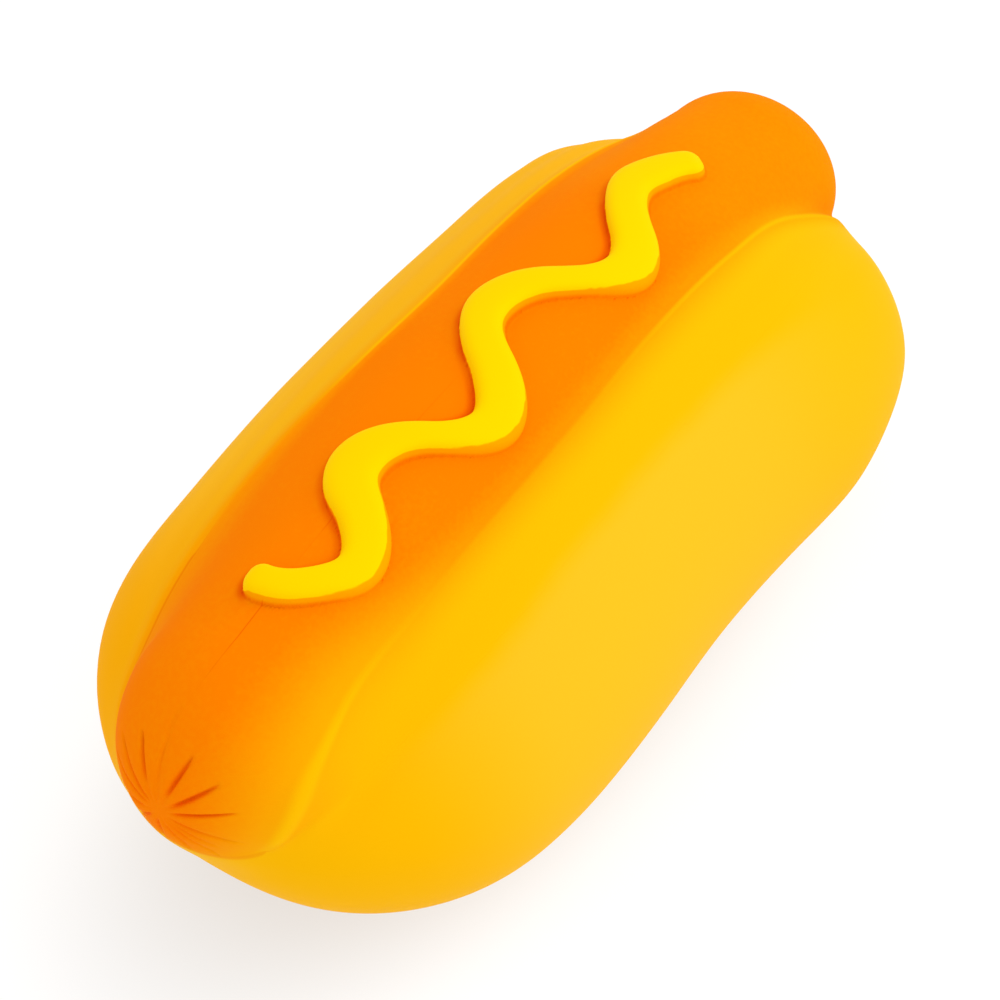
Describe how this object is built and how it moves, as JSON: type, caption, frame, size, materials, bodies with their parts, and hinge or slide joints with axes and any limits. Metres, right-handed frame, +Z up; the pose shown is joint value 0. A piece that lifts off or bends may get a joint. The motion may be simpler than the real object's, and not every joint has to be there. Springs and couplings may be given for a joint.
{
  "type": "rubber toy hot dog",
  "caption": "Soft rubber toy hot dog moulded in one piece: long rounded bun, sausage with a twisted end, and a raised zigzag of mustard.",
  "frame": {"origin": "on the floor under the middle of the toy's bounding box", "axes": "+X along the sausage to its domed far end, the twisted end at -X; +Y to the left half of the bun; +Z up"},
  "size_m": [0.1378, 0.0649, 0.0604],
  "materials": {
    "painted_rubber": "matt soft rubber, yellow with orange airbrushed over the sausage and yellow paint on the mustard"
  },
  "bodies": {
    "root": {"toy_hot_dog": "painted_rubber"}
  },
  "joints": []
}
